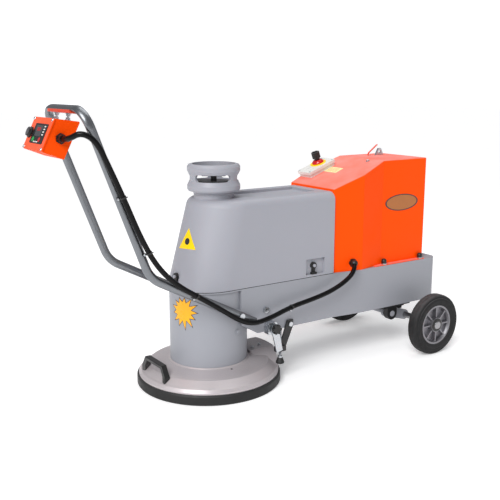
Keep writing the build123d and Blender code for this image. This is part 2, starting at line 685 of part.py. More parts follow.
# ---------------------------------------------------------------- handle
HANDLE_BEND = (-318.0, 466.0)
HANDLE_TOP = (-522.0, 1015.0)
HANDLE_END = (97.0, 247.0)


def handle_tube():
    """One flat-oval tube: up one leg, across the top and down the other."""
    (bx, bz), (tx, tz), (ex, ez) = HANDLE_BEND, HANDLE_TOP, HANDLE_END
    points = [(ex, -LEG_Y, ez), (bx, -LEG_Y, bz), (tx, -LEG_Y, tz),
              (tx, LEG_Y, tz), (bx, LEG_Y, bz), (ex, LEG_Y, ez)]
    path = FilletPolyline(points, radius=[110, 62, 62, 110])
    start = Plane(origin=points[0], x_dir=(0, 1, 0), z_dir=path % 0)
    wall = start * (Ellipse(TUBE_WIDE, TUBE_DEEP) - Ellipse(TUBE_WIDE - 2.5, TUBE_DEEP - 2.5))
    tube = sweep(wall, path=path)
    for side in (-1, 1):
        tube -= rod(PIVOT_X, side * LEG_Y - 20, PIVOT_Z, 6 + RUN, 40, "Y")
    return tube


BOX_FACE = ((-580.0, 985.0), (-627.0, 887.0))
BOX_BACK = ((-559.0, 860.0), (-501.0, 974.0))
FACE_TILT = math.degrees(math.atan2(BOX_FACE[0][0] - BOX_FACE[1][0], BOX_FACE[0][1] - BOX_FACE[1][1]))


def on_face(y, along=0.0, lift=0.0):
    """Place on the control box's face: local Z points out of it and local X up it."""
    (x0, z0), (x1, z1) = BOX_FACE
    return Pos((x0 + x1) / 2, y, (z0 + z1) / 2) * Rot(0, FACE_TILT - 90, 0) * Pos(along, 0, lift)


BOX_TOP_TILT = math.degrees(math.atan2(BOX_FACE[0][1] - BOX_BACK[1][1], BOX_BACK[1][0] - BOX_FACE[0][0]))
BOX_TOP_POINT = (-527.2, 977.7)      # on the box's top, square below the handle's top bar
MOUNT_Y = 50.0


def on_box_top(y, lift=0.0):
    """Place on the control box's top under the handle's top bar, local Z pointing out of it."""
    return Pos(BOX_TOP_POINT[0], y, BOX_TOP_POINT[1]) * Rot(0, BOX_TOP_TILT, 0) * Pos(0, 0, lift)


def control_box():
    shell = side_profile([BOX_FACE[0], BOX_FACE[1], *BOX_BACK], -85, 85)
    shell = fillet(shell.edges().filter_by(Axis.Y).sort_by(Axis.X)[2:], 4)
    middle_x = sum(x for x, z in BOX_FACE + BOX_BACK) / 4
    middle_z = sum(z for x, z in BOX_FACE + BOX_BACK) / 4
    hollow = [(middle_x + 0.92 * (x - middle_x), middle_z + 0.94 * (z - middle_z)) for x, z in BOX_BACK]
    mouth = [(-587.5, 980.5), (-628.5, 894)]
    shell -= side_profile([*mouth, *hollow], -82, 82)
    shell -= rod(-567, -95, 925, 10.2, 20, "Y")
    for y in (-MOUNT_Y, MOUNT_Y):
        shell -= on_box_top(y) * Cylinder(4.1, 30)
    return shell


def control_panel():
    """Lid on the box's face, with a window, two button holes and the knob's hole."""
    lid = on_face(0, 0, 2.0) * Box(108, 176, 3.4)
    lid -= on_face(-9.5, 13, 2) * Box(38, 111, 12)
    for y in (-35, 20):
        lid -= on_face(y, -20, 2) * Cylinder(8.2, 12)
    return lid - on_face(66, 0, 2) * Cylinder(4.2, 12)


def control_unit():
    add("control_box", control_box())
    add("control_panel", control_panel(), on_face(-9.5, 13, 2.6) * Box(37.4, 110.4, 5.2))
    for name, y in (("stop", -35), ("start", 20)):
        button = on_face(y, -20, 3.0) * Cylinder(8, 7) + on_face(y, -20, -3.5) * Cylinder(5, 6.5)
        add(f"{name}_button", button)
    knob = on_face(66, 0, 10.4) * Cylinder(18, 12) + on_face(66, 0, 0) * Cylinder(4, 14)
    add("speed_knob", knob)
    add("box_bracket", bracket())
    screws = [on_face(y, along, 5.3) * Cylinder(4, 3) for y in (-80, 80) for along in (-48, 48)]
    bolts = [on_box_top(y) * box_bolt() for y in (-MOUNT_Y, MOUNT_Y)]
    add("box_fasteners", *screws, *bolts)
    add("box_gland", gland(Plane(origin=(-567, -85.3, 925), z_dir=(0, -1, 0)), 22))


def box_bolt():
    """Bolt through the box's top with a nut and washer on it and another pair under the saddle bar."""
    bolt = rod(0, 0, -12, 4, 33.8) + hex_head(0, 0, -13, 13, 7)
    lower = rod(0, 0, GAP, 9, 2) + hex_head(0, 0, 2, 13, 6.5)
    return bolt + lower + hex_head(0, 0, 13, 13, 6.5) + rod(0, 0, 19.2, 9, 2.5)


def bracket():
    """Saddle bar under the handle's top bar, carried on two bolts above the control box."""
    bar = fillet((on_box_top(0, 27) * Box(32, 190, 10)).edges().filter_by(Axis.Y), 2)
    tube = Plane(origin=(HANDLE_TOP[0], -100, HANDLE_TOP[1]), x_dir=(0.937, 0, 0.349), z_dir=(0, -1, 0))
    return bar - extrude(tube * Ellipse(TUBE_DEEP + RUN, TUBE_WIDE + RUN), amount=-200)


def pivot_bolts():
    """Shoulder bolts that the two handle legs turn on, each with a wide washer head."""
    shank = rod(PIVOT_X, -LEG_Y - TUBE_WIDE - 1, PIVOT_Z, 6, 52, "Y")
    head = rod(PIVOT_X, -LEG_Y - TUBE_WIDE - 6, PIVOT_Z, 10.5, 5, "Y")
    nut = hex_head(PIVOT_X, -130.5, PIVOT_Z, 18, 8, "Y")
    return both_sides(shank + head + nut)


# ---------------------------------------------------------------- control cable
def route_radii(points):
    """Bend radius at each inner point: 0.45 of the shorter run over the tangent of half the turn."""
    radii = []
    for before, here, after in zip(points, points[1:], points[2:]):
        run_in, run_out = Vector(*here) - Vector(*before), Vector(*after) - Vector(*here)
        half_turn = math.radians(run_in.get_angle(run_out)) / 2
        radii.append(0.45 * min(run_in.length, run_out.length) / math.tan(half_turn))
    return radii


def cable_piece(points, radii):
    path = FilletPolyline(points, radius=radii)
    tube = sweep(Plane(origin=points[0], z_dir=path % 0) * Circle(CABLE_R), path=path)
    expected = math.pi * CABLE_R ** 2 * path.length
    print(f"cable piece {path.length:.1f} long, volume / (section x length) {tube.volume / expected:.4f}")
    return tube


def cable():
    """The control cable in three pieces, the middle one bending beside the handle pivot."""
    radii = route_radii(CABLE_ROUTE)
    print("cable radii", [round(radius) for radius in radii])
    first, second = CABLE_CUTS
    middles = [tuple((Vector(*CABLE_ROUTE[cut]) + Vector(*CABLE_ROUTE[cut + 1])) / 2) for cut in CABLE_CUTS]
    upper = CABLE_ROUTE[:first + 1] + [middles[0]]
    flex = [middles[0]] + CABLE_ROUTE[first + 1:second + 1] + [middles[1]]
    lower = [middles[1]] + CABLE_ROUTE[second + 1:]
    add("cable_upper", cable_piece(upper, radii[:first]))
    add("cable_flex", cable_piece(flex, radii[first:second]))
    add("cable_lower", cable_piece(lower, radii[second:]))


def build():
    add("chassis_base", chassis_base())
    add("head_housing", head_housing())
    grinding_head()
    water_tank()
    cabinet()
    wheels()
    stands()
    add("handle_tube", handle_tube())
    control_unit()
    cable()
    fasteners()


def save():
    os.makedirs("parts", exist_ok=True)
    low, high = 1e9, -1e9
    for name, solids in parts.items():
        flat = [solid for item in solids for solid in item.solids()]
        box = Compound(children=flat).bounding_box()
        low, high = min(low, box.min.X), max(high, box.max.X)
        moved = Compound(label=name, children=[Pos(-ORIGIN_X, 0, 0) * solid for solid in flat])
        export_step(moved, f"parts/{name}.step")
    print(f"{len(parts)} nodes, middle of the length at {(low + high) / 2:.2f} from the head axis")


build()
save()
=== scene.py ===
"""Looks of a walk-behind floor grinder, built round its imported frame.

Places are written in millimetres from the grinding head's upright axis and the floor, with the
wheels towards +X, and spot() turns them into the frame's metres.
"""
import json
import math
import random

import bmesh
import bpy
from mathutils import Matrix, Vector
from mathutils.bvhtree import BVHTree


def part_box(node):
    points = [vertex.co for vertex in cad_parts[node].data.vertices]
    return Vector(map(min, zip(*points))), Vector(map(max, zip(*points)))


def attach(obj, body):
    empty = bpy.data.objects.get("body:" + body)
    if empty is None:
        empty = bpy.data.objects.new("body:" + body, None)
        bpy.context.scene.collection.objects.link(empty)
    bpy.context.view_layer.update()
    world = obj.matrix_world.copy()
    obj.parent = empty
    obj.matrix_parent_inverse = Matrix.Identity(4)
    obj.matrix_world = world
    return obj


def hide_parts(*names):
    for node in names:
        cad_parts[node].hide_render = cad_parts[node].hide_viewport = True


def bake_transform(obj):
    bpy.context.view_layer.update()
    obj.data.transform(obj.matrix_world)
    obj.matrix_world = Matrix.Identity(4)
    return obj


bl_info = {
    "name": "Floor grinder looks",
    "version": (1, 0, 0),
    "blender": (4, 5, 0),
    "location": "View3D > Sidebar > Grinder",
    "description": "Materials and detail pieces for a walk-behind floor grinder",
    "category": "Object",
}

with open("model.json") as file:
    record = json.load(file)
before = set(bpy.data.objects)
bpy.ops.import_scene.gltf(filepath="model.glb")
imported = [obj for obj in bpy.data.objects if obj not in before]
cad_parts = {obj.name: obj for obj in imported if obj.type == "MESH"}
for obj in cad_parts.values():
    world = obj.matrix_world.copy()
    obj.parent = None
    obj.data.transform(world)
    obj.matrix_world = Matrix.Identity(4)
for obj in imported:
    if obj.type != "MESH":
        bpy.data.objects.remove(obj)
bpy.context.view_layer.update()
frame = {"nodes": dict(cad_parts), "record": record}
MM = 0.001
SKIRT_LOW, SKIRT_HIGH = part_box("dust_skirt")
HEAD_AXIS_X = (SKIRT_LOW.x + SKIRT_HIGH.x) / 2
SIDES = ((-1, "near"), (1, "far"))

# Places in millimetres, in the frame that spot() takes.
CAMERA_AT = (-1403, -2357, 1081.8)
CAMERA_AHEAD = (0.5468, 0.8106, -0.2096)
CAMERA_LENS_MM = 55.1
SENSOR_MM = 36.0
BOLT_SEAT_R = 144.2
WHEEL_X, WHEEL_Y, WHEEL_Z = 909, 275, 125
FOOT_X, FOOT_Y = 213, 163
THREAD_PITCH = 1.5
KNOB_X, KNOB_Y, KNOB_Z = 178, 178.2, 209
FAN_X, FAN_Y, FAN_Z = 981, 50, 490
LOUVRE_FOOT, LOUVRE_PITCH, LOUVRE_HALF_WIDTH = 600, 16, 88
LABEL_AT = (618, 32)
TANK_FOOT, TANK_REAR, TANK_HALF_WIDTH = 370.05, 480.4, 145.3

# Control points of the control cable's centre line, from the control box to the cabinet.
CABLE_POINTS = (
    (-567, -107.3, 925), (-567, -146, 925), (-540, -184, 948), (-497, -193, 922),
    (-456, -191, 836), (-407, -188, 728), (-358, -187, 610), (-303, -187, 508),
    (-232, -187, 436), (-147, -188, 381), (-60, -190, 324), (15, -193, 271),
    (75, -193, 250), (150, -191, 259), (245, -187, 284), (350, -185, 297),
    (440, -183, 314), (508, -186, 343), (549, -190, 379), (562.7, -172.1, 396.8),
)


def linear(code):
    """Linear colour of an sRGB hex value, with full alpha."""
    channels = [int(code[i:i + 2], 16) / 255 for i in (0, 2, 4)]
    return tuple(c / 12.92 if c <= 0.04045 else ((c + 0.055) / 1.055) ** 2.4 for c in channels) + (1.0,)


def spot(x, y, z):
    """Millimetres from the head axis and the floor, as a point of the frame in metres."""
    return Vector((x * MM + HEAD_AXIS_X, y * MM, z * MM))


# ------------------------------------------------------------------------------- settings
def colour(name, description, code):
    """Colour setting whose default is an sRGB hex value."""
    return bpy.props.FloatVectorProperty(name=name, description=description, subtype="COLOR", size=4,
                                         min=0.0, max=1.0, default=linear(code))


class GrinderColours(bpy.types.PropertyGroup):
    """Colours that a user may change before the pieces are made."""
    orange: colour("Orange", "Powder coat of the cabinet and the control box", "ff4e00")
    grey: colour("Grey", "Enamel of the frame and the head tube", "93959c")
    tank: colour("Tank", "Rotomoulded polyethylene of the water tank", "9b9ca4")
    black: colour("Black", "Moulded plastic and rubber", "141414")


class GrinderSizes(bpy.types.PropertyGroup):
    """Sizes that a user may change before the pieces are made."""
    cable_diameter: bpy.props.FloatProperty(
        name="Cable diameter", description="Outside of the control cable", default=18 * MM,
        min=6 * MM, max=30 * MM, unit="LENGTH")
    tie_width: bpy.props.FloatProperty(
        name="Clip width", description="Width of the clips that hold the control cable", default=5 * MM,
        min=2 * MM, max=10 * MM, unit="LENGTH")
    edge_radius: bpy.props.FloatProperty(
        name="Edge radius", description="Rounding of sheet and cast edges", default=1.6 * MM,
        min=0.2 * MM, max=6 * MM, unit="LENGTH")


# ------------------------------------------------------------------------------- materials
MATERIALS = {}
GLOSS_SPREAD = 0.08


def node(tree, kind, inputs=None, **settings):
    """Adds a node, sets what is named on it, and links or sets its inputs."""
    made = tree.nodes.new(kind)
    for key, value in settings.items():
        setattr(made, key, value)
    for key, value in (inputs or {}).items():
        if isinstance(value, bpy.types.NodeSocket):
            tree.links.new(value, made.inputs[key])
        else:
            made.inputs[key].default_value = value
    return made


def mixed(tree, factor, first, second):
    """Colour between two colours."""
    return node(tree, "ShaderNodeMix", {0: factor, 6: first, 7: second}, data_type="RGBA").outputs[2]


def maths(tree, operation, first, second):
    """Sum, product or comparison of two values."""
    return node(tree, "ShaderNodeMath", {0: first, 1: second}, operation=operation).outputs[0]


def shade(base, factor):
    """The same colour, paler or darker."""
    return tuple(min(1.0, channel * factor) for channel in base[:3]) + (1.0,)


def surface(name, base, roughness, mottle_mm, grain_mm, grain_depth_mm, spread=0.08, dust=0.0,
            pattern=None, **shader):
    """A material whose colour and gloss drift over mottle_mm, and whose grain is grain_mm across.

    spread is how far the colour drifts to each side. dust is how much pale colour is mixed into
    faces that look up: real concrete dust on most finishes, and a painted sheen of the light from
    above on the orange coat. pattern may add to the height and the colour, and gives back both.
    """
    made = bpy.data.materials.new(name)
    made.use_nodes = True
    made.diffuse_color = base
    tree = made.node_tree
    bsdf = tree.nodes["Principled BSDF"]
    place = node(tree, "ShaderNodeTexCoord").outputs["Object"]
    broad = node(tree, "ShaderNodeTexNoise", {"Vector": place, "Scale": 1 / (mottle_mm * MM),
                                              "Detail": 4.0, "Roughness": 0.6})
    fine = node(tree, "ShaderNodeTexNoise", {"Vector": place, "Scale": 1 / (grain_mm * MM),
                                             "Detail": 3.0, "Roughness": 0.6})
    tint = mixed(tree, broad.outputs["Fac"], shade(base, 1 - spread), shade(base, 1 + spread))
    height = fine.outputs["Fac"]
    if pattern:
        height, tint = pattern(tree, place, height, tint)
    gloss = node(tree, "ShaderNodeMapRange", {
        "Value": broad.outputs["Fac"], "From Min": 0.3, "From Max": 0.7,
        "To Min": max(0.02, roughness - GLOSS_SPREAD),
        "To Max": min(1.0, roughness + GLOSS_SPREAD)}).outputs[0]
    # Pale colour d5d2d6 mixed into faces that look up: real dust on most finishes; on the orange coat, whose
    # dust is set high, it is a painted sheen of the light from above.
    if dust:
        up = node(tree, "ShaderNodeSeparateXYZ",
                  {0: node(tree, "ShaderNodeNewGeometry").outputs["Normal"]}).outputs["Z"]
        dust_and_sheen_amount = node(tree, "ShaderNodeMapRange", {"Value": up, "From Min": 0.2, "From Max": 1.0,
                                                 "To Min": 0.0, "To Max": dust}).outputs[0]
        drift = maths(tree, "MULTIPLY", dust_and_sheen_amount, broad.outputs["Fac"])
        tint = mixed(tree, drift, tint, linear("d5d2d6"))
    bump = node(tree, "ShaderNodeBump", {"Strength": 0.7, "Distance": grain_depth_mm * MM, "Height": height})
    for key, value in shader.items():
        bsdf.inputs[key.replace("_", " ")].default_value = value
    tree.links.new(tint, bsdf.inputs["Base Color"])
    tree.links.new(gloss, bsdf.inputs["Roughness"])
    tree.links.new(bump.outputs["Normal"], bsdf.inputs["Normal"])
    MATERIALS[name] = made


def rings_about_head(tree, place, height, tint):
    """Tool marks of a lathe, round the head axis.

    Real feed marks are near 0.5 mm apart; they are drawn 4 mm apart to show.
    """
    moved = node(tree, "ShaderNodeVectorMath", {0: place, 1: (-HEAD_AXIS_X, 0, 0)},
                 operation="ADD").outputs[0]
    rings = node(tree, "ShaderNodeTexWave", {"Vector": moved, "Scale": 0.5 / (4 * MM), "Distortion": 0.6,
                                             "Detail": 2.0}, wave_type="RINGS", rings_direction="Z")
    fac = rings.outputs["Fac"]
    return maths(tree, "ADD", fac, height), mixed(tree, fac, tint, linear("d2c9c6"))


def drawn_lines(tree, place, height, tint):
    """Fine lines left along a drawn and brushed tube, drawn some millimetres apart to show."""
    long = node(tree, "ShaderNodeMapping", {"Vector": place, "Scale": (1.0, 8.0, 0.6)}).outputs[0]
    lines = node(tree, "ShaderNodeTexNoise", {"Vector": long, "Scale": 60.0, "Detail": 3.0})
    fac = lines.outputs["Fac"]
    return maths(tree, "ADD", fac, height), mixed(tree, fac, tint, linear("8d9094"))


def segments_below(tree, place, height, tint):
    """Bronze-coloured diamond segments below a steel plate, which starts 14 mm up."""
    level = node(tree, "ShaderNodeSeparateXYZ", {0: place}).outputs["Z"]
    low = maths(tree, "LESS_THAN", level, 14 * MM)
    grit = node(tree, "ShaderNodeTexVoronoi", {"Vector": place, "Scale": 1 / (1.2 * MM)})
    return (maths(tree, "ADD", grit.outputs["Distance"], height),
            mixed(tree, low, tint, linear("8a6f4a")))


def wound_copper(tree, place, height, tint):
    """Enamelled copper turns over a stack of steel sheets, 2 mm apart."""
    bands = node(tree, "ShaderNodeTexWave", {"Vector": place, "Scale": 0.5 / (2 * MM)},
                 wave_type="BANDS", bands_direction="Z").outputs["Fac"]
    return bands, mixed(tree, bands, tint, linear("5b5d60"))


def make_materials(colours):
    """Every finish on the machine, from what the part is made of."""
    # Powder-coated steel sheet: an even gloss with faint orange peel, about 2.5 mm across.
    # Its top faces are painted paler than its sides: its high dust value paints a sheen of the light from
    # above.
    surface("powder_coated_steel", tuple(colours.orange), 0.5, 150, 2.5, 0.05, spread=0.03, dust=0.55,
            IOR=1.5, Specular_IOR_Level=0.08)
    # The same coat in red, on the strap under the handle's loop.
    surface("powder_coated_strap", linear("d8401a"), 0.36, 90, 2.5, 0.05, spread=0.05, dust=0.05, IOR=1.5)
    # Sprayed enamel on welded steel: satin, with a fine textured skin that hides the welds.
    surface("sprayed_enamel", tuple(colours.grey), 0.42, 140, 1.6, 0.12, spread=0.05, dust=0.12, IOR=1.5)
    # Black enamel on flat bar: satin and thin, so that it looks a little dusty.
    surface("black_enamel", linear("1b1b1c"), 0.4, 60, 2.0, 0.05, dust=0.1, IOR=1.5)
    # Rotomoulded polyethylene: a soft satin skin with a slight flow and orange peel from the mould.
    surface("rotomoulded_polyethylene", tuple(colours.tank), 0.48, 160, 3.0, 0.10, spread=0.04, dust=0.08,
            IOR=1.52, Subsurface_Weight=0.04, Subsurface_Scale=3 * MM)
    # Cast aluminium under silver lacquer, turned on its face: pale, with circular feed marks. The
    # lacquer hides half the metal, so that it keeps its own colour in shade.
    surface("turned_cast_aluminium", linear("b9b4bb"), 0.38, 70, 2.0, 0.05, spread=0.08, dust=0.1,
            pattern=rings_about_head, Metallic=0.45)
    # Die-cast aluminium: fine pitted skin, brighter where it was machined.
    surface("die_cast_aluminium", linear("8c8b8f"), 0.46, 25, 1.5, 0.12, spread=0.12, Metallic=1.0)
    # Moulded ABS: dark satin with a spark-eroded grain.
    surface("moulded_abs", tuple(colours.black), 0.42, 40, 1.2, 0.06, spread=0.2, dust=0.03, IOR=1.52)
    # Moulded light ABS, as on switch boxes: smooth and slightly glossy.
    surface("moulded_abs_light", linear("d9d8d4"), 0.3, 60, 1.5, 0.02, spread=0.03, IOR=1.52)
    # Moulded rubber: dull black with a soft bloom.
    surface("moulded_rubber", linear("101010"), 0.62, 50, 1.5, 0.08, spread=0.25, dust=0.06, IOR=1.5)
    # Extruded PVC jacket: glossy black, very smooth.
    surface("extruded_pvc", linear("030304"), 0.34, 60, 4.0, 0.03, spread=0.2, IOR=1.5,
            Specular_IOR_Level=0.2)
    # Solid tyre rubber: charcoal, scuffed by the floor and paler where dust is rubbed in.
    surface("solid_tyre_rubber", linear("0e0e0f"), 0.78, 18, 1.5, 0.2, spread=0.45, dust=0.15, IOR=1.5)
    # Zinc-plated steel: bright with a faint blue and yellow drift from the passivation.
    surface("zinc_plated_steel", linear("c3c7cb"), 0.28, 9, 1.0, 0.03, spread=0.12, Metallic=1.0)
    # Machined steel: cool grey with fine lay.
    surface("machined_steel", linear("9c9c9e"), 0.32, 15, 0.8, 0.04, spread=0.12, Metallic=1.0)
    # Drawn steel tube with a satin zinc coat: lines along the tube and a soft shine.
    surface("drawn_steel_tube", linear("7c7f83"), 0.34, 60, 1.5, 0.05, spread=0.08, pattern=drawn_lines,
            Metallic=1.0)
    # Copper winding on laminated steel: warm metal in bands, with the grey of the sheets between.
    surface("copper_winding", linear("a5592d"), 0.4, 10, 1.5, 0.3, pattern=wound_copper, Metallic=1.0)
    # Steel plate with sintered diamond segments under it: grey above, bronze and gritty below.
    surface("grinding_plate", linear("8f8f91"), 0.4, 12, 1.2, 0.2, pattern=segments_below, Metallic=1.0)
    # Moulded caps of the two push buttons: glossy and even, as from a polished mould.
    surface("moulded_cap_green", linear("12a04a"), 0.25, 15, 1.5, 0.02, IOR=1.52)
    surface("moulded_cap_red", linear("c3151b"), 0.25, 15, 1.5, 0.02, IOR=1.52)
    # Screen print and vinyl: flat, with a faint film gloss.
    for name, code, spread in (("yellow", "ffd400", 0.03), ("amber", "ffb000", 0.08),
                               ("orange", "ef6a1a", 0.03), ("pale", "f2e2a6", 0.03),
                               ("dark", "2a2a30", 0.05), ("white", "ece9e4", 0.03)):
        surface("vinyl_" + name, linear(code), 0.3, 40, 3.0, 0.02, spread=spread, IOR=1.5)
    surface("vinyl_bronze", linear("a8642a"), 0.35, 30, 3.0, 0.02, spread=0.1, IOR=1.5)
    # Red light-emitting digits behind a tinted window: even and saturated.
    surface("lamp_red", linear("b81c22"), 0.4, 8, 3.0, 0.01, spread=0.1, IOR=1.5)
    # Display glass: smooth and nearly black with a cool reflection.
    surface("display_glass", linear("1a2026"), 0.08, 60, 5.0, 0.005, IOR=1.5, Coat_Weight=0.6)


SLOT_FINISH = {
    "grey_enamel": "sprayed_enamel", "orange_enamel": "powder_coated_steel",
    "red_enamel": "powder_coated_strap", "black_enamel": "black_enamel",
    "cast_aluminium": "die_cast_aluminium", "tank_plastic": "rotomoulded_polyethylene",
    "black_plastic": "moulded_abs", "isolator_plastic": "moulded_abs_light",
    "black_rubber": "moulded_rubber", "tyre_rubber": "solid_tyre_rubber",
    "zinc_steel": "zinc_plated_steel", "bare_steel": "machined_steel",
    "handle_steel": "drawn_steel_tube", "green_plastic": "moulded_cap_green",
    "red_plastic": "moulded_cap_red", "winding": "copper_winding",
}
NODE_FINISH = {"head_cover": "turned_cast_aluminium", "grinding_disc_1": "grinding_plate",
               "grinding_disc_2": "grinding_plate", "grinding_disc_3": "grinding_plate"}


def dress(obj, name):
    """Gives an object one material."""
    obj.data.materials.clear()
    obj.data.materials.append(MATERIALS[name])


# ------------------------------------------------------------------------------- mesh helpers
def piece(name, mesh, finish, body, soft=0.0, angle=30.0):
    """Links a mesh as a piece on a body, with its material, smooth faces and rounded edges."""
    made = bpy.data.objects.new(name, mesh)
    bpy.context.scene.collection.objects.link(made)
    mesh.shade_smooth()
    mesh.set_sharp_from_angle(angle=math.radians(angle))
    dress(made, finish)
    if soft:
        round_edges(made, soft, angle)
    if body:
        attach(made, body)
    return made


def round_edges(made, radius, angle):
    """Small rounding on every edge that is sharper than the angle in degrees."""
    bevel = made.modifiers.new("rounded_edges", "BEVEL")
    bevel.width = radius
    bevel.segments = 2
    bevel.limit_method = "ANGLE"
    bevel.angle_limit = math.radians(angle)
    bevel.harden_normals = True
    bevel.miter_outer = "MITER_ARC"


def mesh_from(name, bm):
    """Mesh of a finished bmesh, with its doubled points joined and its faces turned outwards."""
    mesh = bpy.data.meshes.new(name)
    bmesh.ops.remove_doubles(bm, verts=bm.verts[:], dist=0.001 * MM)
    bmesh.ops.recalc_face_normals(bm, faces=bm.faces[:])
    bm.to_mesh(mesh)
    bm.free()
    return mesh


def circle(radius, x=0.0, y=0.0, steps=24):
    """Outline of a circle, as (x, y) points."""
    return [(x + radius * math.cos(2 * math.pi * step / steps),
             y + radius * math.sin(2 * math.pi * step / steps)) for step in range(steps)]


def lathe(bm, profile, place, steps=48):
    """Spins (radius, height) points about the place's Z axis; a radius of 0 closes on the axis."""
    rings = []
    for radius, height in profile:
        if radius == 0:
            rings.append([bm.verts.new(place @ Vector((0, 0, height)))])
        else:
            rings.append([bm.verts.new(place @ Vector((x, y, height)))
                          for x, y in circle(radius, steps=steps)])
    for low, high in zip(rings, rings[1:]):
        for step in range(steps):
            corners = [low[step % len(low)], low[(step + 1) % len(low)],
                       high[(step + 1) % len(high)], high[step % len(high)]]
            unique = list(dict.fromkeys(corners))
            if len(unique) > 2:
                bm.faces.new(unique)


def prism(bm, outline, place, low, high):
    """Flat outline in the place's X and Y, as a solid between two heights."""
    floor = [bm.verts.new(place @ Vector((x, y, low))) for x, y in outline]
    roof = [bm.verts.new(place @ Vector((x, y, high))) for x, y in outline]
    bm.faces.new(floor)
    bm.faces.new(roof)
    for index in range(len(outline)):
        after = (index + 1) % len(outline)
        bm.faces.new((floor[index], floor[after], roof[after], roof[index]))


def rounded_rectangle(width, height, radius, steps=6, middle=(0, 0)):
    """Outline of a rectangle with round corners, about its middle."""
    points = []
    for sx, sy, start in ((1, 1, 0), (-1, 1, 90), (-1, -1, 180), (1, -1, 270)):
        for step in range(steps + 1):
            angle = math.radians(start + 90 * step / steps)
            points.append((middle[0] + sx * (width / 2 - radius) + radius * math.cos(angle),
                           middle[1] + sy * (height / 2 - radius) + radius * math.sin(angle)))
    return points


def facing(point, normal, up=(0, 0, 1)):
    """Place at a point in millimetres whose Z axis is the normal; its Y axis leans towards up."""
    out = Vector(normal).normalized()
    side = Vector(up).cross(out).normalized()
    turn = Matrix((side, out.cross(side), out)).transposed().to_4x4()
    return Matrix.Translation(spot(*point)) @ turn @ Matrix.Scale(MM, 4)


def fill_outline(bm, outline, holes, place, height):
    """Flat face with holes in the place's X and Y."""
    edges = []
    for loop in (outline, *holes):
        ring = [bm.verts.new(place @ Vector((x, y, height))) for x, y in loop]
        edges += [bm.edges.new((a, b)) for a, b in zip(ring, ring[1:] + ring[:1])]
    return bmesh.ops.triangle_fill(bm, use_beauty=True, use_dissolve=False, edges=edges)["geom"]


def shift_new(bm, geometry, offset):
    """Moves the points that an extrusion has made."""
    points = [item for item in geometry if isinstance(item, bmesh.types.BMVert)]
    bmesh.ops.translate(bm, verts=points, vec=offset)


def plate(bm, outline, place, low, high, holes=()):
    """Flat outline with holes in the place's X and Y, as a solid between two heights."""
    filled = fill_outline(bm, outline, holes, place, low)
    faces = [item for item in filled if isinstance(item, bmesh.types.BMFace)]
    raised = bmesh.ops.extrude_face_region(bm, geom=faces)["geom"]
    shift_new(bm, raised, (place.to_3x3() @ Vector((0, 0, 1))) * (high - low))


def lathed(name, profile, place, finish, body, steps=48, soft=0.0):
    """Piece that is spun from one profile."""
    bm = bmesh.new()
    lathe(bm, profile, place, steps)
    return piece(name, mesh_from(name, bm), finish, body, soft)


def plated(name, outline, place, low, high, finish, body, holes=(), soft=0.0):
    """Piece that is one flat plate."""
    bm = bmesh.new()
    plate(bm, outline, place, low, high, holes)
    return piece(name, mesh_from(name, bm), finish, body, soft)


# Metres in front of its place from which a film is pressed onto the surface.
DECAL_REACH = 0.15


def decal(name, outline, place, target, finish, body, lift=0.4):
    """Thin film whose outline is cut flat at the place and pressed onto the target.

    Its outer face is lift millimetres above the surface, and its inner face 0.05 mm.
    """
    bm = bmesh.new()
    fill_outline(bm, outline, (), place, 0)
    bmesh.ops.subdivide_edges(bm, edges=bm.edges[:], cuts=5, use_grid_fill=True)
    inward = -(place.to_3x3() @ Vector((0, 0, 1))).normalized()
    tree = BVHTree.FromObject(target, bpy.context.evaluated_depsgraph_get())
    for vertex in bm.verts:
        hit = tree.ray_cast(vertex.co - DECAL_REACH * inward, inward)[0]
        if hit is None:
            raise RuntimeError(f"{name} doesn't lie wholly on {target.name}")
        vertex.co = hit - lift * MM * inward
    shift_new(bm, bmesh.ops.extrude_face_region(bm, geom=bm.faces[:])["geom"], inward * (lift - 0.05) * MM)
    return piece(name, mesh_from(name, bm), finish, body, angle=50)


def tube_along(bm, points, radius, steps=16):
    """Round tube through frame points, closed at both ends."""
    rings = []
    side = None
    for index, point in enumerate(points):
        before, after = points[max(index - 1, 0)], points[min(index + 1, len(points) - 1)]
        ahead = (after - before).normalized()
        side = ahead.orthogonal() if side is None else side - ahead * side.dot(ahead)
        side.normalize()
        other = ahead.cross(side)
        rings.append([bm.verts.new(point + side * x + other * y) for x, y in circle(radius, steps=steps)])
    for low, high in zip(rings, rings[1:]):
        for step in range(steps):
            after = (step + 1) % steps
            bm.faces.new((low[step], low[after], high[after], high[step]))
    bm.faces.new(reversed(rings[0]))
    bm.faces.new(rings[-1])


def smooth_route(points, resolution=10):
    """Points along the NURBS curve that has the given control points."""
    line = bpy.data.curves.new("route", "CURVE")
    line.dimensions = "3D"
    spline = line.splines.new("NURBS")
    spline.points.add(len(points) - 1)
    for control, place in zip(spline.points, points):
        control.co = (*place, 1.0)
    spline.order_u = 3
    spline.use_endpoint_u = True
    spline.resolution_u = resolution
    carrier = bpy.data.objects.new("route", line)
    mesh = bpy.data.meshes.new_from_object(carrier)
    places = [vertex.co.copy() for vertex in mesh.vertices]
    bpy.data.objects.remove(carrier)
    bpy.data.curves.remove(line)
    bpy.data.meshes.remove(mesh)
    return places


# ------------------------------------------------------------------------------- operators
FLOOR_HALF_SIZE = 30.0
# Strength of the world as light on the machine, and as the backdrop behind it.
FILL_LIGHT, BACKDROP = 0.34, 1.3


